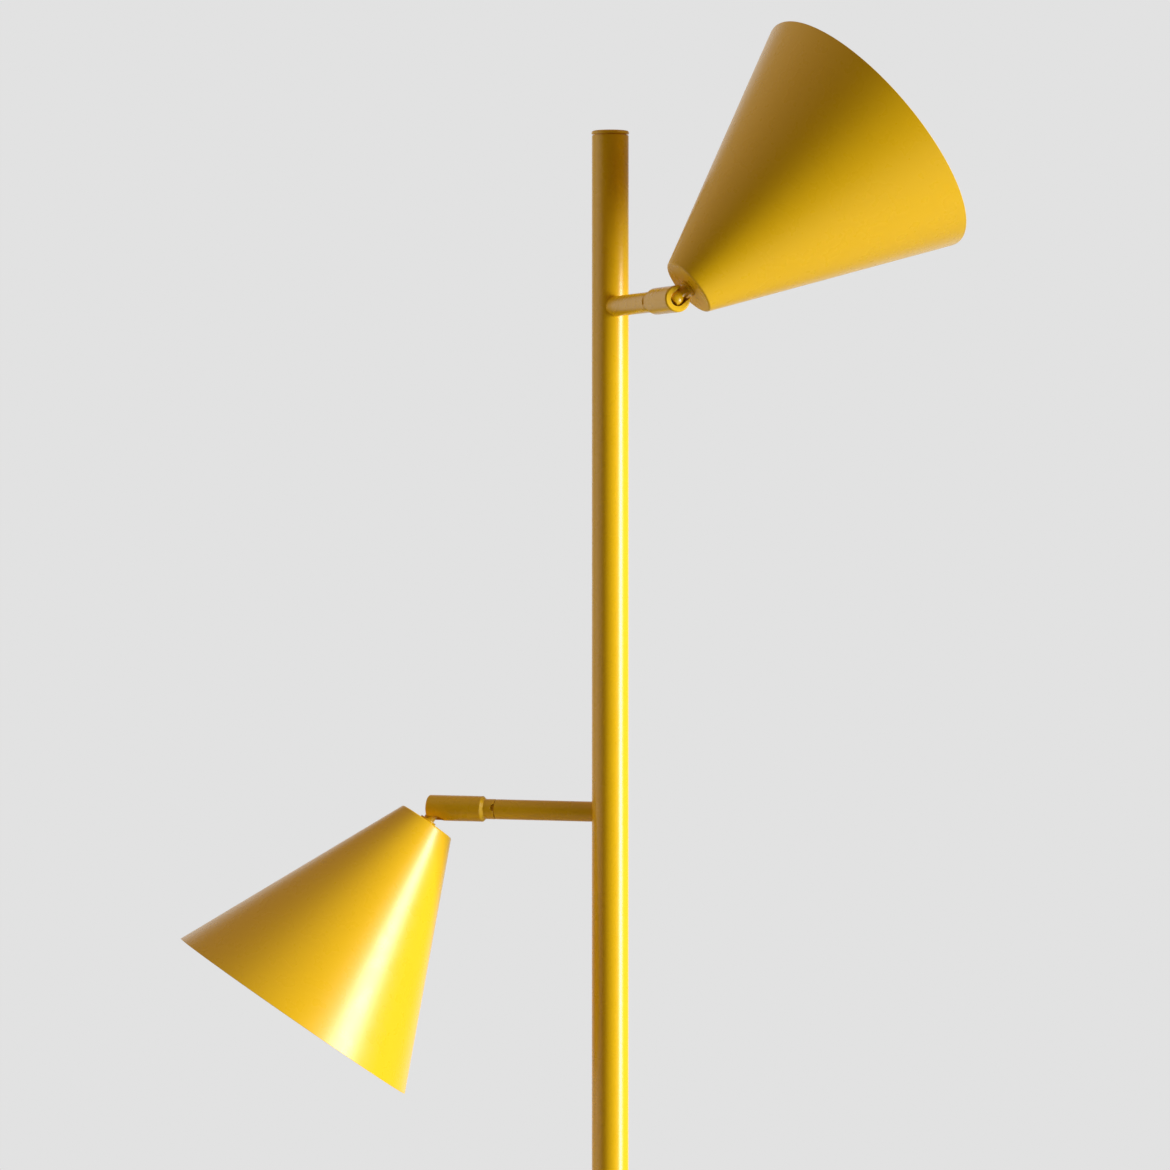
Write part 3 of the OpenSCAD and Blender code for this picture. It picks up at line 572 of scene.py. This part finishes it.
def side_arm(head):
    """The tube meets the pole in a saddle."""
    start, chamfer = 5, 0.3
    outline = [
        (ARM_BORE_R, start),
        (ARM_R, start),
        (ARM_R, ARM_END - chamfer),
        (ARM_R - chamfer, ARM_END),
        (ARM_BORE_R, ARM_END),
    ]
    place = head.on_arm()
    pole = rod(POLE_R, -ARM_END, ARM_END, AROUND)
    upright = place.to_3x3().normalized().inverted() @ UP
    pole.transform(upright.to_track_quat("Z", "Y").to_matrix().to_4x4())
    tube = carved(soften(turned(outline), width=0.08), pole)
    piece(head.name + "_side_arm", tube, place, head.name + "_arm", PAINT)


def holder_neck(head):
    """A turned collar with a half-round notch in its end, which faces the arm."""
    bore_r, spigot_r, spigot_end, edge = 3.55, 6.2, 88.8, 0.5
    notch_r, notch_depth = 2.2, 1.4
    outline = [
        (bore_r, NECK_X),
        (NECK_R - edge, NECK_X),
        (NECK_R, NECK_X + edge),
        (NECK_R, CONE_X),
        (HOLDER_R, HOLDER_X),
        (spigot_r, HOLDER_X),
        (spigot_r, spigot_end),
        (bore_r, spigot_end),
    ]
    notch = rod(notch_r, NECK_R - notch_depth, NECK_R + CUT)
    notch.transform(Matrix.Translation((0, 0, NECK_X)) @ Matrix.Rotation(math.radians(90), 4, "Y"))
    neck = carved(soften(turned(outline), width=0.1), notch)
    soften(neck, width=0.08, steps=2, sharper_than=50)
    piece(head.name + "_holder_neck", neck, head.on_arm(head.across(NOTCH_TURN[head.name])),
          head.name + "_neck", PAINT)


def swivel_holder(head):
    """A turned sleeve whose mouth keeps the ball in, with a slot for the stud to swing into."""
    spigot_r, bore_start, chamfer, lip_x, lip_slope = 6.25, 88.85, 0.8, 113.34, 0.4
    slot_w, slot_len, slot_steps = 8.5, 10.6, 40
    outline = [
        (spigot_r, HOLDER_X),
        (HOLDER_R, HOLDER_X),
        (HOLDER_R, HOLDER_END - chamfer),
        (HOLDER_R - chamfer, HOLDER_END),
        (MOUTH_R, HOLDER_END),
        (MOUTH_R, lip_x),
        (HOLDER_BORE_R, lip_x - lip_slope),
        (HOLDER_BORE_R, bore_start),
        (spigot_r, bore_start),
    ]
    slot_x = HOLDER_END - slot_len + slot_w / 2
    slot_outline = [(r, -z) for r, z in arc(0, -slot_x, slot_w / 2, 0, 180, slot_steps)]
    slot_outline += [(-slot_w / 2, HOLDER_END + CUT), (slot_w / 2, HOLDER_END + CUT)]
    slot = prism(slot_outline, 0, HOLDER_R + CUT)
    across_z_along = Matrix(((0, 0, 1, 0), (1, 0, 0, 0), (0, 1, 0, 0), (0, 0, 0, 1)))
    slot.transform(across_z_along)
    sleeve = carved(soften(turned(outline), width=0.12), slot)
    soften(sleeve, width=0.15, steps=2, sharper_than=50)
    piece(head.name + "_swivel_holder", sleeve, head.on_arm(head.slot),
          head.name + "_holder", PAINT)


def ball_and_stud(head):
    """A bored ball on a threaded stud, with a flange that the shade is clamped against."""
    flange_r, flange_t, stud_end, thread_depth, pitch = 5.2, 1.5, 23.2, 0.35, 1
    runout, end_gap = 0.4, 0.1
    thread_start, root = SHADE_OFFSET + SHADE_WALL, STUD_R - thread_depth
    neck_angle = math.degrees(math.asin(STUD_R / BALL_R))
    back_angle = -math.degrees(math.asin(BALL_BACK / BALL_R))
    outline = [
        (LEAD_BORE_R, -BALL_BACK),
        *arc(0, 0, BALL_R, back_angle, 90 - neck_angle, steps=36),
        (STUD_R, SHADE_OFFSET - flange_t),
        (flange_r, SHADE_OFFSET - flange_t),
        (flange_r, SHADE_OFFSET),
        (STUD_R, SHADE_OFFSET),
        (STUD_R, thread_start),
    ]
    turns = int((SHADE_OFFSET + stud_end - thread_start - pitch) / pitch)
    for i in range(turns):
        outline += [
            (root, thread_start + (i + 0.5) * pitch),
            (STUD_R, thread_start + (i + 1) * pitch),
        ]
    outline += [
        (root, SHADE_OFFSET + stud_end - runout),
        (root, SHADE_OFFSET + stud_end - end_gap),
        (LEAD_BORE_R, SHADE_OFFSET + stud_end - end_gap),
    ]
    stud = soften(turned(outline, around=96), width=0.1, steps=2)
    piece(head.name + "_ball_and_stud", stud, head.on_ball(), head.name + "_ball_stud", PAINT)


def cone_shade(head):
    """Spun in one piece, painted outside and on its cut rim, and white inside."""
    end_r, rim_r, length, edge_r, hole_r = 17.7, 82.25, 142.5, 1.5, 3.5
    slope = math.atan2(rim_r - end_r, length)
    lean = math.degrees(slope)
    edge_centre = end_r + edge_r * math.tan(slope) - edge_r / math.cos(slope)
    outline = [
        (hole_r, 0),
        *arc(edge_centre, edge_r, edge_r, -90, -lean),
        (rim_r, length),
        (rim_r - SHADE_WALL / math.cos(slope), length),
        *arc(edge_centre, edge_r, edge_r - SHADE_WALL, -lean, -90),
        (hole_r, SHADE_WALL),
    ]
    cone = turned(outline, around=240)
    inward, upright = -0.01, 0.9
    for face in cone.faces:
        middle = face.calc_center_median()
        outward = Vector((*middle.xy, 0))
        inside = face.normal.dot(outward) < inward * outward.length or face.normal.z > upright
        face.material_index = int(inside and middle.z < length - SHADE_WALL)
    soften(cone, width=0.2)
    piece(head.name + "_cone_shade", cone, head.on_shade(), head.name + "_shade", PAINT, ENAMEL)


def lampholder(head):
    """A cap on the stud and a ribbed barrel round the screw shell."""
    start, neck_r, neck_len, hole_r, hub_end, hub_wall = 6.3, 7, 6, 3.45, 13.8, 1
    radius, wall, shoulder_s, shoulder_rise, shoulder_r, steps = 13, 1.6, 16.7, 1, 3, 6
    barrel_s, barrel_end, floor_s, floor_top = 22.3, 52.3, 25.3, 29.3
    inner_r = radius - wall
    cap = [
        (hole_r, start),
        (neck_r, start),
        (neck_r, start + neck_len),
        *arc(radius - shoulder_r, shoulder_s + shoulder_rise, shoulder_r, -45, 0, steps),
        (radius, barrel_s),
        (inner_r, barrel_s),
        (inner_r, shoulder_s + wall),
        (neck_r - hub_wall, hub_end),
        (hole_r, hub_end),
    ]
    white = FINISHES["white_plastic"]
    piece(head.name + "_lampholder_cap", soften(turned(cap, around=96), width=0.3),
          head.on_shade(), head.name + "_socket_cap", white)
    margin, chamfer, ribs, around = 5, 1, 24, 144
    barrel = [
        (0, floor_s),
        (inner_r, floor_s),
        (inner_r, barrel_s),
        (radius, barrel_s),
        (radius, barrel_s + margin),
        (radius, barrel_end - margin),
        (radius, barrel_end - chamfer),
        (radius - chamfer, barrel_end),
        (inner_r, barrel_end),
        (inner_r, floor_top),
        (0, floor_top),
    ]
    body = turned(barrel, around, closed=False)
    grooves = []
    for face in body.faces:
        middle = face.calc_center_median()
        in_band = barrel_s + margin < middle.z < barrel_end - margin
        outside = Vector(middle.xy).length > (inner_r + radius) / 2
        ribs_passed = math.atan2(middle.y, middle.x) / (2 * math.pi) * ribs
        if in_band and outside and ribs_passed % 1 < 0.5:
            grooves.append(face)
    bmesh.ops.inset_region(body, faces=grooves, thickness=0.25, depth=-0.45, use_even_offset=True)
    piece(head.name + "_lampholder_barrel", soften(body, width=0.15, steps=2), head.on_shade(),
          head.name + "_socket_barrel", white)


def screw_cap(head, neck_r, glass_s):
    """The bulb's brass cap: its contact, a round thread and a flare that holds the glass."""
    start, wall, cap_r, flare_s = 31.8, 0.6, 6.85, 52.8
    contact_r, contact_edge, contact_len = 3, 0.8, 1.5
    shoulder_s, shoulder_w, shoulder_len, inner_s, margin = 4, 0.8, 1, 6, 1
    pitch, thread_depth, thread_start, steps = 2.82, 0.7, 37.5, 8
    outline = [
        (0, start),
        *arc(contact_r - contact_edge, start + contact_edge, contact_edge, -90, 0, steps=5),
        (contact_r, start + contact_len),
        (cap_r - shoulder_w, start + shoulder_s),
        (cap_r, start + shoulder_s + shoulder_len),
    ]
    turns = int((flare_s - margin - thread_start) / pitch)
    for i in range(turns * steps + 1):
        dip = 0.5 - 0.5 * math.cos(2 * math.pi * i / steps)
        outline.append((cap_r - thread_depth * dip, thread_start + i * pitch / steps))
    outline += [
        (cap_r, flare_s),
        (neck_r, glass_s - margin),
        (neck_r, glass_s),
        (neck_r - wall, glass_s),
        (cap_r - wall, flare_s + wall),
        (cap_r - wall - thread_depth, flare_s - margin),
        (cap_r - wall - thread_depth, start + inner_s),
        (0, start + inner_s),
    ]
    cap = soften(turned(outline, around=96, closed=False), width=0.1, steps=2)
    piece(head.name + "_bulb_screw_cap", cap, head.on_shade(), head.name + "_bulb_cap",
          FINISHES["brass"])


def opal_globe(head, neck_r, glass_s):
    """A blown globe that flows into its neck."""
    bulb_r, centre, wall, fillet, neck_steps, globe_steps = 22.5, 87.3, 0.9, 14, 16, 48
    swing = math.degrees(math.asin((neck_r + fillet) / (bulb_r + fillet)))
    fillet_s = centre - (bulb_r + fillet) * math.cos(math.radians(swing))
    outline = [
        (neck_r, glass_s),
        *arc(neck_r + fillet, fillet_s, fillet, 180, 90 + swing, neck_steps),
        *arc(0, centre, bulb_r, swing - 90, 90, globe_steps),
        *arc(0, centre, bulb_r - wall, 90, swing - 90, globe_steps),
        *arc(neck_r + fillet, fillet_s, fillet + wall, 90 + swing, 180, neck_steps),
        (neck_r - wall, glass_s),
    ]
    piece(head.name + "_opal_globe", turned(outline, around=128), head.on_shade(),
          head.name + "_bulb_glass", FINISHES["opal_glass"])


def lamp_bulb(head):
    """A small opal globe on a screw cap."""
    neck_r, glass_s = 8, 55.8
    screw_cap(head, neck_r, glass_s)
    opal_globe(head, neck_r, glass_s)


# ---- The lamp ----

for node_name, node in frame["nodes"].items():
    for material_slot in node.material_slots:
        material_slot.material = FINISHES[SLOTS[node_name]]

pole_tubes()
pole_top_cap()
foot_collar()
base_cover()
base_pad()
cable_grommet()
for lamp_head in HEADS:
    side_arm(lamp_head)
    holder_neck(lamp_head)
    swivel_holder(lamp_head)
    ball_and_stud(lamp_head)
    cone_shade(lamp_head)
    lampholder(lamp_head)
    lamp_bulb(lamp_head)


# ---- Camera, light and floor ----

VIEW_TURN = 18.264  # from +Y towards -X
VIEW_DOWN = 1.272
BACKDROP = (0.76, 0.76, 0.76, 1)


def camera():
    """The photograph's place: level with the heads and slightly turned down."""
    eye = added("camera", bpy.data.cameras.new("camera"))
    eye.location = (0.7751, -2.3968, 1.2848)
    eye.rotation_euler = (math.radians(90 - VIEW_DOWN), 0, math.radians(VIEW_TURN))
    eye.data.lens = 129.56
    eye.data.sensor_width = 36
    bpy.context.scene.camera = eye


def softbox(name, bearing, rise, size, brightness):
    """A soft lamp aimed at the heads from a bearing, right of the camera, and a height angle."""
    heads_z, distance = 1.25, 4
    light = bpy.data.lights.new(name, "AREA")
    light.shape = "RECTANGLE"
    light.size, light.size_y = size
    light.energy = brightness * math.pi * size[0] * size[1]
    lamp = added(name, light)
    turn, lift = math.radians(VIEW_TURN + bearing), math.radians(rise)
    away = Vector((math.sin(turn) * math.cos(lift), -math.cos(turn) * math.cos(lift),
                   math.sin(lift)))
    lamp.location = Vector((0, 0, heads_z)) + distance * away
    lamp.rotation_euler = (-away).to_track_quat("-Z", "Y").to_euler()
    lamp.visible_camera = False


def bearing_line(degrees):
    """The level direction at a bearing to the right of the camera."""
    turn = math.radians(VIEW_TURN + degrees)
    return (math.sin(turn), -math.cos(turn), 0)


def with_glow(tree, direction, light, toward, start, full, colour):
    """Adds to the light a glow that grows between two cosines of the angle to its middle."""
    along = tree.nodes.new("ShaderNodeVectorMath")
    along.operation = "DOT_PRODUCT"
    along.inputs[1].default_value = toward
    tree.links.new(direction, along.inputs[0])
    share = tree.nodes.new("ShaderNodeMapRange")
    share.interpolation_type = "SMOOTHSTEP"
    share.inputs["From Min"].default_value = start
    share.inputs["From Max"].default_value = full
    tree.links.new(along.outputs["Value"], share.inputs["Value"])
    glow = tree.nodes.new("ShaderNodeVectorMath")
    glow.operation = "MULTIPLY_ADD"
    glow.inputs[1].default_value = colour
    tree.links.new(share.outputs["Result"], glow.inputs[0])
    feed(tree, light, glow.inputs[2])
    return glow.outputs["Vector"]


def studio():
    """A dark room with soft, slightly warm glows; the camera sees a plain backdrop instead."""
    room = (0.018, 0.013, 0.012)
    back, back_left, left, back_right = (bearing_line(turn) for turn in (180, -115, -80, 115))
    above, below = (0, 0, 1), (0, 0, -1)
    glows = (
        (back, 0.65, 1.0, (0.80, 0.80, 0.80)),
        (back_left, 0.6, 1.0, (0.62, 0.56, 0.47)),
        (left, 0.8, 1.0, (0.88, 0.74, 0.62)),
        (back_right, 0.6, 1.0, (0.18, 0.18, 0.18)),
        (above, 0.3, 0.9, (0.40, 0.28, 0.25)),
        (below, 0.4, 0.9, (0.58, 0.48, 0.42)),
    )
    world = bpy.data.worlds.new("studio")
    bpy.context.scene.world = world
    world.use_nodes = True
    tree = world.node_tree
    direction = tree.nodes.new("ShaderNodeTexCoord").outputs["Generated"]
    light = room
    for glow in glows:
        light = with_glow(tree, direction, light, *glow)
    shown = mixed(tree, seen_by_camera(tree), light, BACKDROP)
    tree.links.new(shown, tree.nodes["Background"].inputs["Color"])


def floor():
    """A pale matt floor that fades into the backdrop, darker in the light that it sends back."""
    pale, duller, bounced = (0.82, 0.90, 0.91), (0.80, 0.88, 0.89), (0.45, 0.45, 0.46, 1)
    radius, fade_start, fade_end, patch = 3, 1.0, 2.9, 400
    bm = bmesh.new()
    bmesh.ops.create_circle(bm, cap_ends=True, radius=radius, segments=96)
    ground = added("floor", meshed("floor", bm))
    finish = Finish("pale_floor", pale, 0.6)
    nodes, links = finish.nodes, finish.links
    seen = mixed(finish.tree, finish.grain(patch), (*pale, 1), (*duller, 1))
    finish.set("Base Color", mixed(finish.tree, seen_by_camera(finish.tree), bounced, seen))
    finish.set("Specular IOR Level", 0)
    distance = nodes.new("ShaderNodeVectorMath")
    distance.operation = "LENGTH"
    links.new(finish.place, distance.inputs[0])
    blend = nodes.new("ShaderNodeMixShader")
    faded = finish.between(distance.outputs["Value"], fade_start, fade_end, 0, 1)
    links.new(faded, blend.inputs["Fac"])
    links.new(finish.shader.outputs["BSDF"], blend.inputs[1])
    links.new(nodes.new("ShaderNodeBsdfTransparent").outputs["BSDF"], blend.inputs[2])
    links.new(blend.outputs["Shader"], nodes["Material Output"].inputs["Surface"])
    ground.data.materials.append(finish.material)


camera()
studio()
floor()
softbox("tall_key", bearing=70.2, rise=0, size=(1.05, 3.2), brightness=21.5)
softbox("wide_key", bearing=68, rise=7.5, size=(2.0, 4.4), brightness=2.7)
bpy.context.scene.view_settings.view_transform = "Standard"
